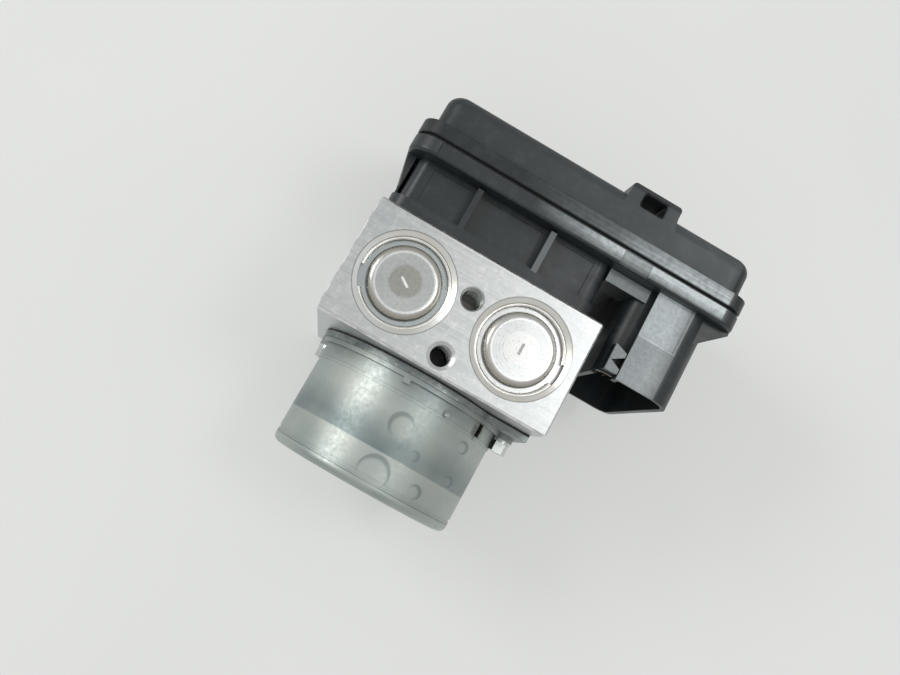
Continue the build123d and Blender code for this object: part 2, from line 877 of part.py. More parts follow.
# ---- Valves ----
def valve_body(x, z):
    """Cartridge in the block with a closed dome that reaches into the coil."""
    dome = rod_y(valve_dome_radius, back_face, valve_dome_end, x, z)
    dome = fillet(dome.edges().sort_by(Axis.Y)[-1], valve_dome_round)
    body = rod_y(valve_radius, valve_floor, back_face, x, z) + dome
    body -= rod_y(armature_bore_radius, chamber_start, chamber_end, x, z)
    return body - rod_y(flow_radius, valve_floor, chamber_start, x, z)


def valve_armature(x, z, lift):
    """Sliding iron armature and its needle, standing off its seat by its lift."""
    low = valve_floor + armature_start + lift
    tip = chamber_start + lift
    armature = rod_y(armature_bore_radius - slide_gap, low, low + armature_length, x, z)
    return armature + rod_y(needle_radius, tip, low, x, z)


def coil_bank():
    """Eight coils joined by the stamped frame that carries their terminals to the board."""
    frame_end = coil_end + frame_thickness
    half = frame_width / 2
    first = valve_places[0]
    last = valve_places[-1]
    middle = valve_places[valve_count // 2]
    bank = slab(middle - half, middle + half, coil_end, frame_end, outlet_row, inlet_row)
    for z in (inlet_row, outlet_row):
        bank += slab(first, last, coil_end, frame_end, z - half, z + half)
        for x in valve_places:
            bank += rod_y(coil_radius, coil_start, coil_end, x, z)
            for side in (-1, 1):
                pin_x = x + side * terminal_pitch / 2
                bank += rod_y(terminal_radius, coil_end, board_low, pin_x, z + terminal_rise)
    for z in (inlet_row, outlet_row):
        for x in valve_places:
            bank -= rod_y(coil_bore_radius, coil_start, frame_end, x, z)
    return bank


# ---- Control unit housing ----
def flange_outline(inset):
    """The flange's rounded outline, drawn in by an inset."""
    return rectangle(
        flange_left + inset, flange_right - inset, flange_low + inset, flange_high - inset,
        flange_left_corner - inset, flange_right_corner - inset
    )


def wall_outline(inset):
    """Outline of the box around the coils."""
    corner = wall_corner - inset
    return rectangle(
        wall_left + inset, wall_right - inset, wall_low + inset, wall_high - inset, corner, corner
    )


def foot_outline():
    return rectangle(foot_left, foot_right, foot_low, foot_high, foot_corner, foot_corner)


def seal_outline(inset):
    """Outline of the seal between the foot and the block."""
    inset += seal_inset
    corner = foot_corner - inset
    low = foot_low + inset
    return rectangle(foot_left + inset, foot_right - inset, low, foot_high - inset, corner, corner)


def seal_ring(width_gap):
    """Closed ring of the block seal, or of its groove when it is given a gap."""
    top = back_face + seal_height
    outer = prism_y(seal_outline(-width_gap), back_face, top)
    return outer - prism_y(seal_outline(seal_width + width_gap), back_face, top)


def shroud_outline(inset):
    """Section of the connector shroud: rounded right side, stepped near left corner."""
    left = shroud_left + inset
    far = shroud_far + inset
    near = shroud_near - inset
    strip = shroud_strip - inset
    right = shroud_right - inset
    panel_left = shroud_panel_left + inset
    outline = Polygon(
        (left, far), (right, far), (right, near), (panel_left, near),
        (panel_left, strip), (left, strip), align=None
    )
    outline = round_corner(outline, (right, near), shroud_near_corner - inset)
    outline = round_corner(outline, (left, strip), shroud_strip_corner - inset)
    outline = round_corner(outline, (left, far), shroud_far_corner - inset)
    return round_corner(outline, (right, far), shroud_far_corner - inset)


def latch():
    """Forked block on the shroud's strip that holds the plug's lever."""
    right = shroud_panel_left - latch_gap
    left = right - latch_width
    high = shroud_near - latch_drop
    block = prism_z(
        [(left, latch_start), (right, latch_start), (right, latch_end - latch_slope), (left, latch_end)],
        shroud_strip - shroud_wall / 2, high
    )
    fork = prism_z(
        [(left + latch_bridge, latch_fork), (shroud_panel_left, latch_fork + latch_fork_rise),
         (shroud_panel_left, latch_fork - latch_fork_fall)],
        shroud_strip, high
    )
    return block - fork


def ribs():
    """Upright ribs on the near wall, level with the foot."""
    solids = None
    for place in rib_places:
        half = rib_width / 2
        rib = slab(
            place - half, place + half, foot_top, flange_base - rib_short,
            wall_high - wall_thickness, foot_high
        )
        solids = rib if solids is None else solids + rib
    return solids


def panels():
    """Shallow panels sunk into the near wall between its ribs."""
    edges = [wall_left + wall_corner]
    for place in rib_places:
        edges += [place - rib_width / 2, place + rib_width / 2]
    edges.append(wall_right - wall_corner)
    low = foot_top + panel_margin
    high = flange_base - panel_margin
    cuts = None
    for left, right in zip(edges[::2], edges[1::2]):
        cut = slab(
            left + panel_margin, right - panel_margin, low, high, wall_high - panel_drop, wall_high
        )
        cuts = cut if cuts is None else cuts + cut
    return cuts


def skirt():
    """Thin wall from the foot's left end that flares out to the flange's left end."""
    outer = foot_left + skirt_setback
    inner = outer + skirt_thickness
    root = foot_top - skirt_root
    top = flange_base + flange_lip_round
    points = [
        (outer, root), (inner, root), (inner, top), (flange_left + skirt_end_gap, top),
        (outer, flange_base - skirt_flare)
    ]
    return prism_z(points, skirt_low, flange_high - skirt_inset)


def webs():
    """Sloping webs under the flange, to the right of the shroud."""
    top = flange_base + flange_lip_round
    end = flange_right - flange_edge / 2
    points = [
        (web_start, top), (web_start, flange_base - web_drop), (end, flange_base - web_lip), (end, top)
    ]
    low_web = prism_z(points, web_low, web_low + web_thickness)
    high = flange_high - web_inset
    return low_web + prism_z(points, high - web_thickness, high)


def housing_flange():
    """Flange with a rounded lower lip, a shallow recess and a step line on its near side."""
    flange = prism_y(flange_outline(0), flange_base, flange_top)
    flange = fillet(flange.faces().sort_by(Axis.Y)[0].edges(), flange_lip_round)
    flange = chamfer(flange.faces().sort_by(Axis.Y)[-1].edges(), flange_edge)
    sunk = flange_high - recess_depth
    flange -= slab(recess_start, recess_end, flange_base, flange_top, sunk, flange_high)
    step_end = step_place + step_width
    return flange - slab(step_place, step_end, flange_base, flange_top, sunk, flange_high)


def terminal_slots():
    """Slots in the floor for the coils' terminals."""
    half_width = terminal_pitch / 2 + terminal_radius + loose_gap
    half_height = terminal_radius + loose_gap
    slots = None
    for row in (inlet_row, outlet_row):
        z = row + terminal_rise
        for x in valve_places:
            slot = slab(
                x - half_width, x + half_width, flange_base, floor_top, z - half_height, z + half_height
            )
            slots = slot if slots is None else slots + slot
    return slots


def lead_window(low, high):
    """Opening for the motor lead's blades."""
    half_width = blade_pitch / 2 + blade_thickness / 2 + loose_gap
    half_height = blade_width / 2 + loose_gap
    return slab(
        -half_width, half_width, low, high, lead_height - half_height, lead_height + half_height
    )


def pin_window(inset, low, high):
    """Opening for the pin carrier in the socket's floor, or its body when it is inset."""
    return slab(
        pin_window_left + inset, pin_window_left + pin_window_width - inset, low, high,
        pin_window_low + inset, pin_window_low + pin_window_length - inset
    )


def ecu_housing():
    """Moulded housing: foot, coil box, connector shroud and flange tray in one piece."""
    housing = prism_y(foot_outline(), back_face, foot_top)
    housing += prism_y(wall_outline(0), foot_top, flange_base)
    housing += prism_y(shroud_outline(0), shroud_mouth, flange_base)
    housing += housing_flange()
    housing += ribs() + skirt() + webs() + latch()
    bar_start = wall_right - bar_root
    bar_low = wall_high - bar_depth
    housing += slab(bar_start, bar_end, flange_base - bar_height, flange_base, bar_low, wall_high)
    housing -= panels()
    sunk = shroud_near - shroud_panel_drop
    panel_right = shroud_right - shroud_near_corner
    housing -= slab(
        shroud_panel_left, panel_right, shroud_panel_step, flange_base, sunk, shroud_near
    )
    housing -= slab(
        shroud_left, shroud_panel_left, shroud_mouth, shroud_mouth + shroud_strip_setback,
        shroud_strip - shroud_strip_corner, shroud_near
    )
    housing -= prism_y(wall_outline(wall_thickness), back_face, flange_base)
    housing -= prism_y(flange_outline(flange_rim), floor_top, flange_top)
    housing -= prism_y(shroud_outline(shroud_wall), shroud_mouth, socket_floor)
    housing -= prism_y(shroud_outline(shroud_wall), socket_back, floor_top)
    housing -= pin_window(0, socket_floor, socket_back)
    housing -= terminal_slots()
    housing -= lead_window(flange_base, floor_top)
    housing -= seal_ring(slide_gap)
    boss_end = back_face + boss_rise
    for x, z in housing_screw_places:
        wall = wall_right - wall_thickness / 2 if x > 0 else wall_left + wall_thickness / 2
        web_ends = sorted((x, wall))
        housing += rod_y(boss_radius, back_face, boss_end, x, z)
        housing += slab(*web_ends, foot_top, boss_end, z - boss_web / 2, z + boss_web / 2)
        housing -= rod_y(housing_screw_circle + loose_gap, back_face, boss_end, x, z)
        housing -= rod_y(housing_screw_head + loose_gap, flange_base, floor_top, x, z)
    pad_inset = flange_rim + board_pad / 2
    for x in (flange_left + pad_inset, flange_right - pad_inset):
        for z in (flange_low + 2 * board_inset, flange_high - 2 * board_inset):
            housing += rod_y(board_pad, floor_top, board_low, x, z)
    return housing


def housing_screws():
    """Four screws that hold the housing's bosses on the block."""
    screws = []
    for x, z in housing_screw_places:
        seat = back_face + boss_rise
        tip = back_face - housing_screw_length + loose_gap
        screw = rod_y(housing_screw_radius - seat_gap, tip, back_face, x, z)
        screw += rod_y(housing_screw_circle, back_face, seat, x, z)
        screws.append(screw + rod_y(housing_screw_head, seat, seat + housing_screw_head_length, x, z))
    return Compound(children=screws)


def pin_header():
    """Carrier plate in the socket's floor with its rows of square pins."""
    plate_end = socket_back + carrier_thickness
    header = pin_window(slide_gap, socket_floor, socket_back)
    header += pin_window(-carrier_lip, socket_back, plate_end)
    middle_x = pin_window_left + pin_window_width / 2
    middle_z = pin_window_low + pin_window_length / 2
    half = pin_size / 2
    for row in range(pin_rows):
        x = middle_x + (row - (pin_rows - 1) / 2) * pin_row_pitch
        for column in range(pin_columns):
            z = middle_z + (column - (pin_columns - 1) / 2) * pin_column_pitch
            header += slab(x - half, x + half, socket_floor - pin_reach, board_low, z - half, z + half)
    return header


# ---- Lid and board ----
def lid_gasket():
    """Thin ring set back from the flanges' edges, seen as a dark gap between them."""
    outer = prism_y(flange_outline(gasket_inset), flange_top, gasket_top)
    return outer - prism_y(flange_outline(gasket_inset + gasket_width), flange_top, gasket_top)


def lid_shell(inset, low, high, rounding):
    """The lid's bulged box, or its hollow when it is inset."""
    outline = rectangle(
        flange_left + lid_inset_left + inset, flange_right - lid_inset_right - inset,
        lid_low + inset, lid_high - inset, lid_corner - inset, lid_corner - inset
    )
    shell = prism_y(outline, low, high)
    return fillet(shell.faces().sort_by(Axis.Y)[-1].edges(), rounding)


def lid_tab():
    """Tab on the lid's near edge with flared roots."""
    top = lid_top + tab_rise
    root = lid_top - tab_root
    outline = Polygon(
        (tab_left - tab_flare, root), (tab_right + tab_flare, root), (tab_right, lid_top),
        (tab_right, top), (tab_left, top), (tab_left, lid_top), align=None
    )
    for place in ((tab_left, top), (tab_right, top)):
        outline = round_corner(outline, place, tab_corner)
    return extrude(Pos(0, 0, lid_high - tab_length) * outline, tab_length)


def tab_slot():
    """Slot right through the tab along Z, with a bevelled near mouth."""
    top = lid_top + tab_rise - slot_top_wall
    middle = ((slot_left + slot_right) / 2, top - slot_height / 2)
    width = slot_right - slot_left
    near = Pos(middle[0], middle[1], lid_high)
    slot_outline = RectangleRounded(width, slot_height, slot_corner)
    mouth_outline = RectangleRounded(
        width + 2 * slot_bevel, slot_height + 2 * slot_bevel, slot_corner + slot_bevel
    )
    slot = extrude(near * slot_outline, -tab_length)
    return slot + loft([Pos(0, 0, -slot_bevel) * near * slot_outline, near * mouth_outline])


def ecu_lid():
    """Hollow lid with a flange all round and a slotted tab."""
    lid = prism_y(flange_outline(0), gasket_top, lid_flange_top)
    lid = chamfer(lid.faces().sort_by(Axis.Y)[0].edges(), flange_edge)
    lid = fillet(lid.faces().sort_by(Axis.Y)[-1].edges(), flange_edge)
    lid += lid_shell(0, gasket_top, lid_top, lid_round)
    lid -= lid_shell(lid_wall, gasket_top, lid_top - lid_wall, lid_round - lid_wall)
    root_back = lid_high - tab_length - lid_wall
    lid += slab(tab_left, tab_right, lid_top - tab_root, lid_top, root_back, lid_high - lid_round)
    return lid + lid_tab() - tab_slot()


def circuit_board():
    """Board with its soldered processor, valve driver, capacitors and choke."""
    left = flange_left + board_inset
    right = flange_right - board_inset
    low = flange_low + board_inset
    high = flange_high - board_inset
    outline = rectangle(left, right, low, high, board_corner, board_corner)
    board = prism_y(outline, board_low, board_top)
    for x, z in housing_screw_places:
        board -= rod_y(housing_screw_head + loose_gap, board_low, board_top, x, z)
    chip_end = board_top + chip_height
    board += slab(-processor_size, 0, board_top, chip_end, inlet_row, inlet_row + processor_size)
    board += slab(0, driver_size, board_top, chip_end, outlet_row, outlet_row + driver_size)
    choke_end = board_top + choke_height
    board += slab(right - 2 * choke_size, right - choke_size, board_top, choke_end, outlet_row,
                  outlet_row + choke_size)
    for z in (outlet_row, inlet_row):
        x = left + 3 * capacitor_radius
        board += rod_y(capacitor_radius, board_top, board_top + capacitor_height, x, z)
    return board


# ---- All the pieces by name ----
def pieces():
    """Every piece of the module under its own name."""
    both_sides = {
        "accumulator_piston": accumulator_piston(),
        "accumulator_seal": accumulator_seal(),
        "accumulator_spring": accumulator_spring(),
        "pump_sleeve": pump_sleeve(),
        "pump_plunger": pump_plunger(),
        "plunger_spring": plunger_spring(),
        "pump_plug": pump_plug(),
        "magnet": magnet(),
        "brush": brush(),
    }
    parts = {"hydraulic_block": hydraulic_block()}
    for name, solid in both_sides.items():
        parts[name + "_right"] = solid
        parts[name + "_left"] = left_of(solid)
    parts["accumulator_cap_right"] = accumulator_cap(90)
    parts["accumulator_cap_left"] = left_of(accumulator_cap(34))
    parts["cap_ring_right"] = cap_ring(-5)
    parts["cap_ring_left"] = left_of(cap_ring(-20))
    for z, name, lift in ((inlet_row, "inlet", armature_travel), (outlet_row, "outlet", 0)):
        for number, x in enumerate(valve_places, 1):
            parts[f"{name}_valve_{number}"] = valve_body(x, z)
            parts[f"{name}_armature_{number}"] = valve_armature(x, z, lift)
    for piece in (
        motor_gasket, motor_end_plate, motor_can, motor_screws, front_bush, rear_bush, rotor_shaft,
        eccentric_ring, armature_core, armature_winding, commutator, brush_holder, motor_lead,
        coil_bank, ecu_housing, housing_screws, pin_header, lid_gasket, ecu_lid, circuit_board
    ):
        parts[piece.__name__] = piece()
    parts["block_seal"] = seal_ring(0)
    return parts


os.makedirs("parts", exist_ok=True)
for name, solid in pieces().items():
    export_step(solid, f"parts/{name}.step")
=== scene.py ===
"""Looks of the anti-lock brake module: view, stage, materials, threads, and spring meshes of their own."""

import math

import bpy
from mathutils import Matrix, Vector


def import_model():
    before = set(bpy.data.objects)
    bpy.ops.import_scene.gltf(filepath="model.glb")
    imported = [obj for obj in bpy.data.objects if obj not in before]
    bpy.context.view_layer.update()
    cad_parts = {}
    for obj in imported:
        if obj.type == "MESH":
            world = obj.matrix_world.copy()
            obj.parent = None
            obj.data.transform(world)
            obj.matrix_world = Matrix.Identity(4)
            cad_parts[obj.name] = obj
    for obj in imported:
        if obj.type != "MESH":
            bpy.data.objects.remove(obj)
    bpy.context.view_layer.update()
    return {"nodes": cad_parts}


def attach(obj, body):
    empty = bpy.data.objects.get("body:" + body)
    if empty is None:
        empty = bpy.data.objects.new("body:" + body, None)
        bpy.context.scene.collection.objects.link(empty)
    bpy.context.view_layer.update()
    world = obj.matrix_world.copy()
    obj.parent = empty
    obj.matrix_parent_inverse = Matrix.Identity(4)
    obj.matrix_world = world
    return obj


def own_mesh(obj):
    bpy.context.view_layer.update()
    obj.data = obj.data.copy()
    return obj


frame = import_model()
nodes = frame["nodes"]

MM = 0.001
PICTURE_WIDTH = 900  # pixels

# ---- The view ----
CAMERA_PLACE = Vector((-20.5, -50.7, 359.3)) * MM
CAMERA_RIGHT = Vector((0.86415, 0.48323, 0.14050))
CAMERA_UP = Vector((-0.50050, 0.85434, 0.14000))
FOCAL_PIXELS = 905
RISE_PIXELS = 38  # how far the optical axis lies above the middle of the frame
SENSOR_WIDTH = 36
NEAR_CLIP = 0.01

# ---- Light and stage ----
PAPER_SIZE = 6  # metres
PAPER_GLOW = 0.37  # light that the paper gives off by itself
ROOM_SIDES = 0.52  # strength of the room's light near the floor's level
ROOM_OVERHEAD = 0.66
LIT_PLACE = Vector((0, 0, 0.05))  # what the lamps face, in metres

# ---- Places on the module, in millimetres ----
LEFT_CAP = (-20.6, 0, 0)
RIGHT_CAP = (20.6, 0, 0)
MOUNT_HOLES = ((0, 5.9), (0, -14.2))
MOUNT_THREAD = (3.4, 1.25, 11.25)  # bore radius, pitch, length
WHEEL_PORTS = [((i - 1.5) * 18.5, -9) for i in range(4)]
WHEEL_THREAD = (4.5, 1.0, 9)
MASTER_PORTS = [(-18, 9), (18, 9)]
MASTER_THREAD = (5.5, 1.0, 9)
BLOCK_HEIGHT = 88
BLOCK_TOP = (86.5, 89)  # a layer round the top face
BLOCK_RIMS = (("Y", 19.5, 21), ("Y", -21, -19.5), ("X", -41, -39.6))

# ---- Screw threads ----
THREAD_STEPS = 36  # per turn
THREAD_START = 1.4  # below the mouth, in millimetres
THREAD_RIDGE = 0.22  # how far the ridge stands out of the wall, in millimetres
THREAD_SINK = 0.01  # how far its foot lies in the wall
THREAD_FOOT = 0.30  # half widths, as shares of the pitch
THREAD_CREST = 0.06

# ---- Colours that more than one finish uses ----
# colour of the painted sheen that stands for reflected light on the dark plastics
PAINTED_SHEEN = (0.57, 0.63, 0.65)
PLASTIC_STREAKS = (130, 5, (0.08, 9, 9), 0.65)  # scale, detail, stretch and roughness of a noise


# ---- Shader helpers ----
class Look:
    """One material and the nodes that build it."""

    def __init__(self, name, colour, metallic, roughness):
        self.material = bpy.data.materials.new(name)
        self.material.use_nodes = True
        self.tree = self.material.node_tree
        self.shader = self.tree.nodes["Principled BSDF"]
        self.shader.inputs["Base Color"].default_value = (*colour, 1)
        self.shader.inputs["Metallic"].default_value = metallic
        self.shader.inputs["Roughness"].default_value = roughness

    def add(self, kind, **settings):
        node = self.tree.nodes.new(kind)
        for name, value in settings.items():
            setattr(node, name, value)
        return node

    def link(self, source, target):
        self.tree.links.new(source, target)

    def place(self, stretch=(1, 1, 1), shift=(0, 0, 0)):
        """Object coordinates in metres, stretched and moved."""
        coords = self.add("ShaderNodeTexCoord")
        mapping = self.add("ShaderNodeMapping", vector_type="POINT")
        mapping.inputs["Scale"].default_value = stretch
        mapping.inputs["Location"].default_value = shift
        self.link(coords.outputs["Object"], mapping.inputs["Vector"])
        return mapping.outputs["Vector"]

    def noise(self, scale, detail=3, stretch=(1, 1, 1), roughness=0.5):
        texture = self.add("ShaderNodeTexNoise")
        texture.inputs["Scale"].default_value = scale
        texture.inputs["Detail"].default_value = detail
        texture.inputs["Roughness"].default_value = roughness
        self.link(self.place(stretch), texture.inputs["Vector"])
        return texture.outputs["Fac"]

    def math(self, operation, first, second=0.0):
        node = self.add("ShaderNodeMath", operation=operation)
        for socket, value in zip(node.inputs, (first, second)):
            if isinstance(value, (int, float)):
                socket.default_value = value
            else:
                self.link(value, socket)
        return node.outputs["Value"]

    def product(self, *factors):
        """Factors multiplied one after another."""
        total = factors[0]
        for factor in factors[1:]:
            total = self.math("MULTIPLY", total, factor)
        return total

    def ramp(self, factor, low, high, start=0.0, end=1.0):
        """Maps a factor between two values, clamped."""
        node = self.add("ShaderNodeMapRange")
        node.inputs["From Min"].default_value = low
        node.inputs["From Max"].default_value = high
        node.inputs["To Min"].default_value = start
        node.inputs["To Max"].default_value = end
        self.link(factor, node.inputs["Value"])
        return node.outputs["Result"]

    def mix(self, factor, first, second):
        """Mixes two colours by a factor."""
        node = self.add("ShaderNodeMix", data_type="RGBA")
        if isinstance(factor, (int, float)):
            node.inputs[0].default_value = factor
        else:
            self.link(factor, node.inputs[0])
        for socket, value in ((node.inputs[6], first), (node.inputs[7], second)):
            if isinstance(value, tuple):
                socket.default_value = (*value, 1)
            else:
                self.link(value, socket)
        return node.outputs[2]

    def bump(self, height, distance, strength=1.0, normal=None):
        node = self.add("ShaderNodeBump")
        node.inputs["Strength"].default_value = strength
        node.inputs["Distance"].default_value = distance
        self.link(height, node.inputs["Height"])
        if normal is not None:
            self.link(normal, node.inputs["Normal"])
        return node.outputs["Normal"]

    def set(self, name, output):
        self.link(output, self.shader.inputs[name])

    def axis(self, name):
        """One object coordinate, in metres."""
        split = self.add("ShaderNodeSeparateXYZ")
        self.link(self.place(), split.inputs["Vector"])
        return split.outputs[name]

    def between(self, value, rising, falling):
        """1 between two edges of a value, each given by the stretch over which it fades."""
        return self.product(self.ramp(value, *rising), self.ramp(value, *reversed(falling)))

    def within(self, name, low, high, soft):
        """1 between two places on an axis, in millimetres, with soft ends."""
        place = self.product(self.axis(name), 1 / MM)
        return self.between(place, (low - soft, low + soft), (high - soft, high + soft))

    def box(self, x, y, z, soft=0.15):
        """1 inside a box given by its ends on each axis, in millimetres."""
        inside = self.within("X", *x, soft)
        for name, ends in (("Y", y), ("Z", z)):
            inside = self.product(inside, self.within(name, *ends, soft))
        return inside

    def grow(self, name, *points):
        """A value that follows points (place in millimetres, value) along an axis."""
        place = self.product(self.axis(name), 1 / MM)
        total = points[0][1]
        for (start, low), (end, high) in zip(points, points[1:]):
            total = self.math("ADD", self.ramp(place, start, end, 0, high - low), total)
        return total

    def distance(self, centre, flatten=(1, 1, 0)):
        """Distance in millimetres from a point, with some axes left out."""
        shift = [-c * f for c, f in zip(centre, flatten)]
        stretch = [f / MM for f in flatten]
        length = self.add("ShaderNodeVectorMath", operation="LENGTH")
        self.link(self.place(stretch, shift), length.inputs[0])
        return length.outputs["Value"]

    def towards(self, centre, direction):
        """Distance in millimetres from a point, along a direction."""
        share = self.add("ShaderNodeVectorMath", operation="DOT_PRODUCT")
        self.link(self.place((1 / MM,) * 3, [-c for c in centre]), share.inputs[0])
        share.inputs[1].default_value = direction
        return share.outputs["Value"]


def milled_block():
    """Bare aluminium with fine milling lines along X and faint scuffs, painted highlights along the top
    edges, and painted shade towards the left end and inside the mount holes.
    """
    look = Look("milled_aluminium", (0.80, 0.81, 0.81), 1.0, 0.3)
    lines = look.noise(130, 5, (0.10, 12, 12), 0.6)
    scuffs = look.noise(420, 6, (1, 1, 1), 0.65)
    cloud = look.noise(45, 3)
    tone = look.mix(look.ramp(cloud, 0.3, 0.7), (0.57, 0.60, 0.60), (0.69, 0.71, 0.70))
    tone = look.mix(look.ramp(lines, 0.35, 0.65, 0.55, 0), tone, (0.47, 0.49, 0.50))
    tone = look.mix(look.ramp(scuffs, 0.52, 0.75, 0, 0.55), tone, (0.90, 0.90, 0.89))
    tone = look.mix(look.ramp(look.noise(900, 4), 0.55, 0.75, 0, 0.4), tone, (0.42, 0.44, 0.45))
    # Painted shade: the block darkens towards its left end, where less light falls.
    tone = look.mix(look.grow("X", (-30, 0.3), (5, 0)), tone, (0.50, 0.53, 0.53))
    # Painted highlights along the top edges of the back, front and left sides, broken up by noise.
    upper = look.within("Z", *BLOCK_TOP, 0.3)
    back, front, left = (look.within(name, *ends, 0.1) for name, *ends in BLOCK_RIMS)
    edge = look.math("ADD", look.math("ADD", back, front), left)
    highlight_breaks = look.ramp(look.noise(260, 3), 0.4, 0.55, 0.25, 0.9)
    tone = look.mix(look.product(edge, upper, highlight_breaks), tone, (0.97, 0.97, 0.96))
    tan = look.mix(look.ramp(cloud, 0.4, 0.6), (0.80, 0.78, 0.72), (0.88, 0.90, 0.89))
    for centre in (LEFT_CAP, RIGHT_CAP):
        radius = look.distance(centre)
        turned = look.between(radius, (14.2, 14.4), (16.2, 16.3))
        tone = look.mix(look.product(turned, upper), tone, tan)
        line = look.between(radius, (15.95, 16.15), (16.25, 16.45))
        tone = look.mix(look.product(upper, 0.7, line), tone, (0.12, 0.12, 0.12))
    # Painted shade inside the two mount holes, broken by the milling lines in the back one.
    back_hole_shade = look.box((-5, 5), (1, 11), (70, 87.3))
    back_hole_shade = look.product(back_hole_shade, look.ramp(lines, 0.3, 0.6, 1, 0.5))
    tone = look.mix(back_hole_shade, tone, (0.16, 0.14, 0.12))
    front_hole_shade = look.box((-5, 5), (-19, -9), (70, 87.2))
    tone = look.mix(front_hole_shade, tone, (0.05, 0.05, 0.05))
    look.set("Base Color", tone)
    look.set("Roughness", look.ramp(look.math("ADD", lines, scuffs), 0.7, 1.3, 0.28, 0.44))
    normal = look.bump(lines, 0.00005, 0.6)
    look.set("Normal", look.bump(scuffs, 0.00004, 0.5, normal))
    return look.material


def cap_steel(name, centre, base, middle, brim, dash_angle, dash_tone):
    """Drawn and plated sheet with fine drawn rings: painted shade on the middle disc, a painted highlight
    ring at the crown's edge, painted shade on the rounding and in the crease round the hat's foot.
    """
    disc_edge = (4.8, 5.8)  # radii in millimetres, over which an edge fades
    highlight_ring = ((8.9, 9.3), (9.6, 10.0))
    shaded_ring = ((9.7, 10.6), (11.5, 11.75))
    dark_ring = ((11.45, 11.75), (11.85, 12.15))
    brim_edge = (12.0, 12.2)
    dash_end = (1.95, 1.85)  # from the pressed dash's middle
    dash_side = (0.5, 0.4)
    look = Look(name, base, 1.0, 0.25)
    radius = look.distance(centre)
    grain = look.noise(900, 4)
    patch = look.noise(70, 3)
    dim = tuple(c * 0.86 for c in base)
    tone = look.mix(look.ramp(patch, 0.35, 0.7), dim, base)
    ragged = look.math("ADD", radius, look.ramp(patch, 0, 1, -1.2, 1.2))
    # Painted shade: the middle disc takes its own tone, standing for the shade of the crown's slight dish.
    tone = look.mix(look.ramp(ragged, *disc_edge, 0.85, 0), tone, middle)
    # Painted highlight: a bright ring where the crown's rounding begins.
    painted_light = look.product(look.between(radius, *highlight_ring), 0.7)
    tone = look.mix(painted_light, tone, (0.97, 0.97, 0.95))
    # Painted shade: a patchy, tan, darker band on the rounding.
    darkening = look.product(look.between(radius, *shaded_ring), look.ramp(patch, 0.4, 0.6, 0.35, 0.8))
    tone = look.mix(darkening, tone, (0.47, 0.43, 0.37))
    # Painted shade in the crease where the hat meets the brim.
    line = look.product(look.between(radius, *dark_ring), 0.75)
    tone = look.mix(line, tone, (0.14, 0.14, 0.13))
    tone = look.mix(look.ramp(radius, *brim_edge, 0, 0.7), tone, brim)
    turn = math.radians(dash_angle)
    along = look.math("ABSOLUTE", look.towards(centre, (math.cos(turn), math.sin(turn), 0)))
    across = look.math("ABSOLUTE", look.towards(centre, (-math.sin(turn), math.cos(turn), 0)))
    dash = look.product(look.ramp(along, *dash_end), look.ramp(across, *dash_side))
    tone = look.mix(dash, tone, dash_tone)
    look.set("Base Color", tone)
    look.set("Roughness", look.ramp(grain, 0.3, 0.7, 0.24, 0.36))
    rings = look.math("SINE", look.product(radius, 6.0))
    normal = look.bump(rings, 0.000004, 0.4)
    look.set("Normal", look.bump(patch, 0.00006, 0.3, normal))
    return look.material


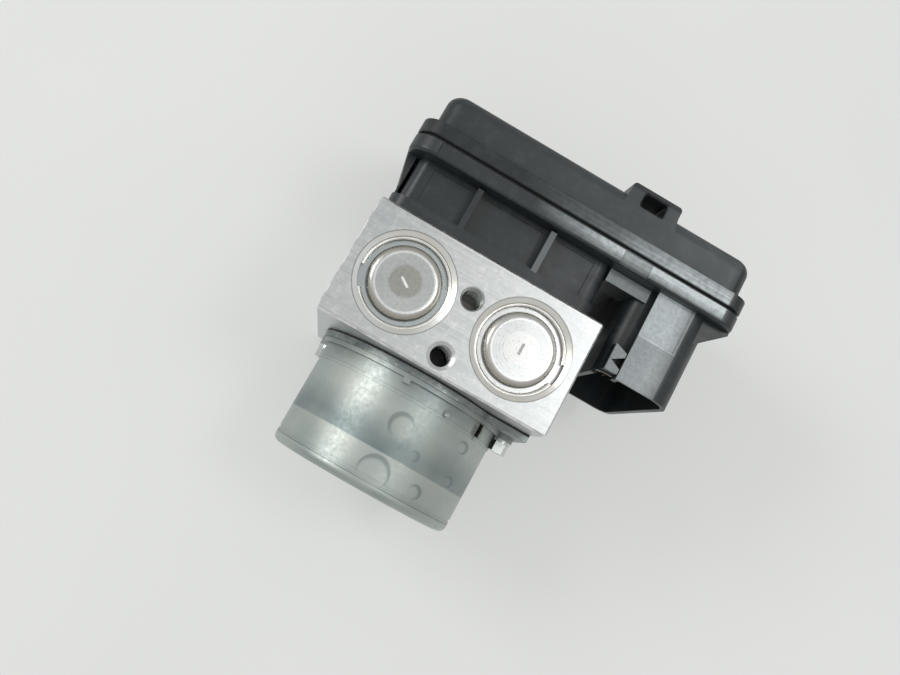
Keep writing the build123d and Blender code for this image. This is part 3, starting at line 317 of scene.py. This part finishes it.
def motor_zinc():
    """Zinc-plated deep-drawn steel, grey-green and cloudy, with a darker band, handling marks, and painted
    highlight and shade on the dimple.
    """
    drawn_lines = ((-57.7, 0.16, 0.65), (-57.1, 0.1, 0.35), (-28.6, 0.1, 0.4))  # Y, half width, strength
    marks = (  # centre, radius, shift of the crescent's hollow, strength of the light pool in it
        ((0.6, -37.6), 4.4, (0.9, -0.9), 0.3), ((0.0, -54.0), 5.6, (-0.1, -1.1), 0.3),
        ((22.0, -33.9), 2.4, (-0.6, -0.3), 0), ((9.0, -43.9), 2.0, (-0.6, -0.3), 0),
        ((23.4, -45.5), 2.0, (-0.6, -0.3), 0), ((14.6, -53.4), 2.6, (-0.6, -0.5), 0),
        # the last mark sits on the dimple in the can: its light pool is a painted highlight and its crescent
        # painted shade
        ((11.7, -27.7), 1.9, (0.15, -0.15), 0.4),
    )
    slot = (23.8, -26.8, 0)
    look = Look("zinc_plating", (0.45, 0.49, 0.47), 0.9, 0.36)
    cloud = look.noise(28, 4)
    cold = look.noise(60, 2)
    fine = look.noise(700, 5)
    tone = look.mix(look.ramp(cloud, 0.35, 0.65), (0.33, 0.385, 0.37), (0.48, 0.51, 0.475))
    tone = look.mix(look.ramp(cold, 0.5, 0.75, 0, 0.4), tone, (0.33, 0.40, 0.43))
    tone = look.mix(look.grow("X", (8, 0), (30, 0.35)), tone, (0.60, 0.61, 0.57))
    band = look.grow("Y", (-48.0, 0), (-47.6, 1), (-44, 1), (-35, 0))
    band = look.product(band, look.ramp(cold, 0.3, 0.7, 0.45, 0.95))
    tone = look.mix(band, tone, (0.17, 0.22, 0.225))
    for place, width, strength in drawn_lines:
        line = look.within("Y", place - width, place + width, 0.1)
        tone = look.mix(look.product(line, strength), tone, (0.10, 0.12, 0.12))
    flange = look.product(look.grow("Y", (-30, 0), (-26, 0.6)), look.ramp(cold, 0.35, 0.6, 0.4, 1))
    tone = look.mix(flange, tone, (0.17, 0.20, 0.205))
    upper = look.ramp(look.axis("Z"), 0.045, 0.055)
    for (x, y), size, (shift_x, shift_y), light in marks:
        outer = look.distance((x, y, 0))
        inner = look.distance((x + shift_x, y + shift_y, 0))
        pool = look.product(look.ramp(inner, size, size - 2.2, 0, light), upper)
        tone = look.mix(pool, tone, (0.52, 0.55, 0.53))
        outline = look.ramp(outer, size, size - 0.4)
        crescent = look.product(outline, look.ramp(inner, size - 1.1, size - 0.2), upper, 0.6)
        tone = look.mix(crescent, tone, (0.16, 0.20, 0.20))
    darkening = look.ramp(look.distance(slot, (1, 0.7, 0)), 2.6, 1.2)
    darkening = look.product(darkening, upper, look.ramp(fine, 0.35, 0.6, 0.3, 0.9))
    tone = look.mix(darkening, tone, (0.07, 0.065, 0.06))
    look.set("Base Color", tone)
    look.set("Roughness", look.ramp(look.math("ADD", fine, cloud), 0.7, 1.3, 0.36, 0.54))
    turning = look.noise(500, 2, (0.05, 9, 0.05))
    normal = look.bump(turning, 0.00002, 0.5)
    look.set("Normal", look.bump(fine, 0.00002, 0.4, normal))
    return look.material


def clouded_plate():
    """Plated end plate in dark, irregular clouds, with light specks."""
    look = Look("clouded_plate", (0.36, 0.40, 0.39), 0.95, 0.42)
    cloud = look.noise(120, 5, (0.5, 1, 1), 0.65)
    tone = look.mix(look.ramp(cloud, 0.38, 0.6), (0.13, 0.15, 0.15), (0.30, 0.33, 0.325))
    speck = look.noise(600, 3)
    tone = look.mix(look.ramp(speck, 0.6, 0.72, 0, 0.5), tone, (0.6, 0.63, 0.6))
    look.set("Base Color", tone)
    look.set("Normal", look.bump(cloud, 0.0001, 0.5))
    return look.material


def plain_metal(name, colour, roughness, cloud_share=0.15):
    """Turned, ground or plated metal with light clouding."""
    look = Look(name, colour, 1.0, roughness)
    cloud = look.noise(150, 4)
    dark = tuple(c * (1 - cloud_share) for c in colour)
    light = tuple(min(1, c * (1 + cloud_share)) for c in colour)
    look.set("Base Color", look.mix(look.ramp(cloud, 0.3, 0.7), dark, light))
    fine = look.noise(1500, 3)
    look.set("Roughness", look.ramp(fine, 0.3, 0.7, roughness - 0.06, roughness + 0.08))
    look.set("Normal", look.bump(fine, 0.00001, 0.5))
    return look.material


def moulded(name, colour, roughness, mottle, shine_level=0.5):
    """Moulded plastic with a fine grain and shinier, mottled patches."""
    look = Look(name, colour, 0.0, roughness)
    look.shader.inputs["Specular IOR Level"].default_value = shine_level
    patch = look.noise(55, 5, (1, 1, 1), 0.6)
    grain = look.noise(3200, 3)
    light = tuple(c * 1.5 for c in colour)
    tone = look.mix(look.ramp(patch, 0.35, 0.7), colour, light)
    dust = look.noise(230, 6, (1, 1, 1), 0.7)
    tone = look.mix(look.ramp(dust, 0.5, 0.7, 0, 0.35), tone, (0.06, 0.068, 0.07))
    look.set("Base Color", tone)
    shine = look.ramp(patch, 0.35, 0.65, roughness + mottle, roughness - mottle)
    look.set("Roughness", shine)
    soft = look.noise(90, 2)
    normal = look.bump(soft, 0.0002, 0.2)
    look.set("Normal", look.bump(grain, 0.00002, 0.35, normal))
    return look, tone


def housing_plastic():
    """Housing plastic with a painted grey sheen on its near faces, standing for reflected light."""
    look, tone = moulded("housing_plastic", (0.0095, 0.0145, 0.015), 0.40, 0.08, 0.6)
    streaks = look.ramp(look.noise(*PLASTIC_STREAKS), 0.35, 0.62, 0.6, 1.15)
    blots = look.ramp(look.noise(110, 4, (0.6, 1, 1), 0.6), 0.42, 0.5, 0.45, 1)
    speck = look.ramp(look.noise(900, 4), 0.35, 0.65, 0.85, 1.1)

    # Painted sheen on the flange's near face, streaky and strongest towards the right, weaker in the recess,
    # with a painted highlight at the step near x = -32.2.
    face = look.box((-60, 72.6), (40.6, 44.8), (87.45, 89), 0.3)
    across = look.grow("Y", (40.4, 0.25), (42.8, 1), (44.3, 0.95), (45, 0.45))
    along = look.grow("X", (2, 0.0), (8, 0.15), (18, 0.38), (30, 0.85), (48, 0.95), (60, 1.15))
    recess = look.box((35, 45.2), (39, 46), (87, 89))
    mottle = look.ramp(look.noise(500, 4), 0.35, 0.6, 0.75, 1.08)
    painted_light = look.product(face, across, look.product(along, streaks))
    painted_light = look.product(painted_light, look.ramp(recess, 0, 1, 1, 0.68), mottle)
    step_highlight = look.grow("X", (-34, 0.02), (-32.3, 0.045), (-32.1, 0.0), (20, 0.0))
    painted_light = look.math("ADD", painted_light, look.product(face, step_highlight, blots))
    tone = look.mix(painted_light, tone, PAINTED_SHEEN)

    # Painted sheen on the shroud's front panel, with a bright line near y = 24 and fading at its right edge.
    panel = look.box((52, 65.5), (7.5, 39.6), (83.2, 84.2), 0.1)
    panel = look.product(panel, look.grow("X", (60.5, 1.0), (63.5, 0.7), (66, 0.3)))
    rise = look.grow("Y", (23.4, 0.47), (23.6, 0.82), (24.1, 0.82), (24.3, 0.72), (39, 0.80))
    tone = look.mix(look.product(panel, rise, speck), tone, PAINTED_SHEEN)

    # Fainter painted sheen on the latch, the bar, the rib and the wall beside it.
    latch = look.box((47.2, 51.8), (9, 18.2), (82.5, 84.2), 0.1)
    tone = look.mix(look.product(latch, 0.38, speck), tone, PAINTED_SHEEN)
    bar = look.box((35, 50.3), (34.8, 39.3), (80.3, 81.2), 0.1)
    tone = look.mix(look.product(bar, 0.30, speck), tone, PAINTED_SHEEN)
    rib = look.box((11.7, 13.7), (24, 39), (82, 86), 0.1)
    tone = look.mix(look.product(rib, 0.18), tone, PAINTED_SHEEN)
    wall = look.box((14, 36), (24, 39.3), (78, 81.2))
    tone = look.mix(look.product(wall, 0.03, blots), tone, PAINTED_SHEEN)
    look.set("Base Color", tone)
    return look.material


def lid_plastic():
    """Lid plastic: dark flange face with a painted sheen on its right, and a front painted slightly lighter
    towards the right.
    """
    look, tone = moulded("lid_plastic", (0.008, 0.0125, 0.013), 0.42, 0.06, 0.5)
    streaks = look.ramp(look.noise(*PLASTIC_STREAKS), 0.35, 0.62, 0.65, 1.15)
    mottle = look.ramp(look.noise(500, 4), 0.35, 0.6, 0.75, 1.08)
    # Painted sheen on the flange's near face, streaky and growing towards the right.
    face = look.box((-60, 72.6), (46.2, 50.6), (87.45, 89), 0.3)
    along = look.grow("X", (-2, 0.0), (14, 0.08), (30, 0.16), (36, 0.36), (54, 0.72), (68, 0.78))
    tone = look.mix(look.product(face, along, streaks, mottle), tone, PAINTED_SHEEN)
    # Painted light on the front, growing slowly towards the right.
    front = look.box((-60, 73), (51, 66), (83.6, 85.2), 0.3)
    level = look.grow("X", (-34, 0.02), (10, 0.045), (40, 0.05), (62, 0.085))
    tone = look.mix(look.product(front, level), tone, PAINTED_SHEEN)
    look.set("Base Color", tone)
    return look.material


def rubber():
    look = Look("seal_rubber", (0.012, 0.012, 0.012), 0.0, 0.6)
    grain = look.noise(2500, 3)
    look.set("Normal", look.bump(grain, 0.00003, 0.5))
    look.set("Roughness", look.ramp(grain, 0.3, 0.7, 0.5, 0.75))
    return look.material


def board():
    """Green solder mask with faint tracks, and black parts above it."""
    look = Look("solder_mask", (0.01, 0.12, 0.05), 0.0, 0.35)
    tracks = look.noise(260, 1, (1, 0, 4))
    mask_top = (0.04345, 0.0435)  # metres
    above = look.ramp(look.axis("Y"), *mask_top)
    green = look.mix(look.ramp(tracks, 0.49, 0.51), (0.01, 0.11, 0.045), (0.02, 0.17, 0.07))
    look.set("Base Color", look.mix(above, green, (0.02, 0.02, 0.02)))
    return look.material


def header():
    """Black carrier plate with gilt pins."""
    plate = ((0.03160, 0.03165), (0.0352, 0.0353))  # metres
    look = Look("pin_header", (0.6, 0.48, 0.2), 0.0, 0.35)
    carrier = look.between(look.axis("Y"), *plate)
    look.set("Base Color", look.mix(carrier, (0.62, 0.50, 0.24), (0.015, 0.015, 0.015)))
    look.set("Metallic", look.ramp(carrier, 0, 1, 1, 0))
    return look.material


def paint_nodes():
    """Gives every CAD piece its finish and returns the bright one for the threads."""
    steel = plain_metal("ground_steel", (0.58, 0.59, 0.60), 0.3)
    screw = plain_metal("plated_screw", (0.62, 0.66, 0.63), 0.28, 0.25)
    copper = plain_metal("copper", (0.72, 0.36, 0.2), 0.35)
    bronze = plain_metal("sintered_bronze", (0.6, 0.44, 0.24), 0.5)
    iron = plain_metal("laminated_iron", (0.25, 0.25, 0.26), 0.5)
    wire = plain_metal("ring_wire", (0.86, 0.85, 0.81), 0.3)
    aluminium = plain_metal("turned_aluminium", (0.72, 0.73, 0.74), 0.3)
    black = rubber()
    inner = moulded("inner_plastic", (0.03, 0.03, 0.03), 0.5, 0.05)[0].material
    looks = {
        "hydraulic_block": milled_block(),
        "accumulator_cap_left": cap_steel(
            "left_cap_steel", LEFT_CAP, (0.56, 0.585, 0.575), (0.37, 0.365, 0.335),
            (0.46, 0.51, 0.52), -34, (0.95, 0.95, 0.93)
        ),
        "accumulator_cap_right": cap_steel(
            "right_cap_steel", RIGHT_CAP, (0.72, 0.74, 0.74), (0.73, 0.73, 0.72),
            (0.70, 0.71, 0.70), 90, (0.35, 0.35, 0.35)
        ),
        "motor_can": motor_zinc(),
        "motor_end_plate": clouded_plate(),
        "motor_gasket": black,
        "motor_screws": screw,
        "housing_screws": screw,
        "ecu_housing": housing_plastic(),
        "ecu_lid": lid_plastic(),
        "coil_bank": inner,
        "motor_lead": inner,
        "brush_holder": inner,
        "block_seal": black,
        "lid_gasket": black,
        "circuit_board": board(),
        "pin_header": header(),
        "armature_core": iron,
        "armature_winding": copper,
        "commutator": copper,
        "front_bush": bronze,
        "rear_bush": bronze,
        "rotor_shaft": steel,
        "eccentric_ring": steel,
    }
    for side in ("left", "right"):
        looks[f"cap_ring_{side}"] = wire
        looks[f"accumulator_piston_{side}"] = aluminium
        looks[f"accumulator_seal_{side}"] = black
        looks[f"accumulator_spring_{side}"] = steel
        looks[f"plunger_spring_{side}"] = steel
        looks[f"pump_plunger_{side}"] = steel
        looks[f"pump_sleeve_{side}"] = steel
        looks[f"pump_plug_{side}"] = steel
        looks[f"magnet_{side}"] = iron
        looks[f"brush_{side}"] = black
    for number in range(1, 5):
        for kind in ("inlet", "outlet"):
            looks[f"{kind}_valve_{number}"] = steel
            looks[f"{kind}_armature_{number}"] = steel
    for name, thing in nodes.items():
        for index in range(max(1, len(thing.data.materials))):
            if index < len(thing.data.materials):
                thing.material_slots[index].material = looks[name]
            else:
                thing.data.materials.append(looks[name])
    return screw


# ---- Threads in the holes ----
def thread(name, centre, mouth, direction, size, material):
    """Ridge of a screw thread that winds along a bore from its mouth."""
    radius, pitch, length = size
    steps = int(length / pitch) * THREAD_STEPS
    profile = (  # millimetres from the foot's radius, and place along the bore as a share of the pitch
        (0.0, -THREAD_FOOT), (-THREAD_RIDGE, -THREAD_CREST), (-THREAD_RIDGE, THREAD_CREST), (0.0, THREAD_FOOT)
    )
    points = []
    for step in range(steps + 1):
        angle = 2 * math.pi * step / THREAD_STEPS
        depth = THREAD_START + pitch * step / THREAD_STEPS
        for inward, along in profile:
            reach = radius + THREAD_SINK + inward
            points.append((
                (centre[0] + reach * math.cos(angle)) * MM,
                (centre[1] + reach * math.sin(angle)) * MM,
                (mouth + direction * (depth + along * pitch)) * MM,
            ))
    corners = len(profile)
    faces = []
    for step in range(steps):
        for corner in range(corners):
            following = (corner + 1) % corners
            first = step * corners
            second = first + corners
            faces.append((first + corner, first + following, second + following, second + corner))
    faces.append(tuple(range(corners)))
    faces.append(tuple(range(steps * corners + corners - 1, steps * corners - 1, -1)))
    mesh = bpy.data.meshes.new(name)
    mesh.from_pydata(points, [], faces)
    mesh.validate()
    for polygon in mesh.polygons:
        polygon.use_smooth = True
    mesh.materials.append(material)
    thing = bpy.data.objects.new(name, mesh)
    bpy.context.collection.objects.link(thing)
    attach(thing, "module")


def threads(material):
    """Ridges in both mount holes and in all six ports."""
    for number, place in enumerate(MOUNT_HOLES, 1):
        thread(f"mount_thread_{number}", place, BLOCK_HEIGHT, -1, MOUNT_THREAD, material)
    for number, place in enumerate(WHEEL_PORTS, 1):
        thread(f"wheel_port_thread_{number}", place, 0, 1, WHEEL_THREAD, material)
    for number, place in enumerate(MASTER_PORTS, 1):
        thread(f"master_port_thread_{number}", place, 0, 1, MASTER_THREAD, material)


def springs():
    """Gives each accumulator spring a mesh of its own."""
    for side in ("left", "right"):
        name = f"accumulator_spring_{side}"
        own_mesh(nodes[name])


# ---- Stage, light and camera ----
def stage():
    """A wide sheet of pale paper under the module."""
    bpy.ops.mesh.primitive_plane_add(size=PAPER_SIZE)
    floor = bpy.context.object
    floor.name = "paper"
    look = Look("paper", (0.42, 0.42, 0.42), 0.0, 0.9)
    look.shader.inputs["Emission Color"].default_value = (0.985, 1.0, 0.985, 1)
    look.shader.inputs["Emission Strength"].default_value = PAPER_GLOW
    cloud = look.ramp(look.noise(7, 2), 0.3, 0.7)
    look.set("Base Color", look.mix(cloud, (0.41, 0.415, 0.41), (0.43, 0.435, 0.43)))
    look.shader.inputs["Specular IOR Level"].default_value = 0.2
    floor.data.materials.append(look.material)


def world():
    """A pale room, brighter overhead than at the sides."""
    room = bpy.data.worlds.new("room")
    bpy.context.scene.world = room
    room.use_nodes = True
    tree = room.node_tree
    background = tree.nodes["Background"]
    coords = tree.nodes.new("ShaderNodeTexCoord")
    split = tree.nodes.new("ShaderNodeSeparateXYZ")
    rise = tree.nodes.new("ShaderNodeMapRange")
    rise.inputs["From Min"].default_value = -0.1
    rise.inputs["From Max"].default_value = 1.0
    rise.inputs["To Min"].default_value = ROOM_SIDES
    rise.inputs["To Max"].default_value = ROOM_OVERHEAD
    tree.links.new(coords.outputs["Generated"], split.inputs["Vector"])
    tree.links.new(split.outputs["Z"], rise.inputs["Value"])
    tree.links.new(rise.outputs["Result"], background.inputs["Strength"])
    background.inputs["Color"].default_value = (1.0, 1.0, 0.99, 1)


def soft_light(name, direction, distance, width, height, power):
    """An area lamp that faces the module from a direction."""
    lamp = bpy.data.lights.new(name, "AREA")
    lamp.shape = "RECTANGLE"
    lamp.size = width
    lamp.size_y = height
    lamp.energy = power
    thing = bpy.data.objects.new(name, lamp)
    bpy.context.collection.objects.link(thing)
    thing.location = LIT_PLACE + Vector(direction).normalized() * distance
    thing.rotation_euler = (thing.location - LIT_PLACE).to_track_quat("Z", "Y").to_euler()


def lights():
    """A large lamp from the left and a weaker one from above, on the right."""
    soft_light("key", (-0.77, 0.10, 0.63), distance=1.5, width=0.5, height=0.5, power=6.5)
    soft_light("window", (0.42, 0.24, 1.0), distance=1.6, width=0.45, height=0.38, power=3.6)


def camera():
    """The camera, turned so that the block runs down to the right of the picture."""
    lens = bpy.data.cameras.new("camera")
    lens.sensor_width = SENSOR_WIDTH
    lens.lens = SENSOR_WIDTH * FOCAL_PIXELS / PICTURE_WIDTH
    lens.shift_y = -RISE_PIXELS / PICTURE_WIDTH
    lens.clip_start = NEAR_CLIP
    thing = bpy.data.objects.new("camera", lens)
    bpy.context.collection.objects.link(thing)
    back = CAMERA_RIGHT.cross(CAMERA_UP)
    turn = Matrix((CAMERA_RIGHT, CAMERA_UP, back)).transposed()
    thing.matrix_world = Matrix.Translation(CAMERA_PLACE) @ turn.to_4x4()
    bpy.context.scene.camera = thing


bpy.context.scene.view_settings.view_transform = "Standard"
camera()
stage()
world()
lights()
threads(paint_nodes())
springs()
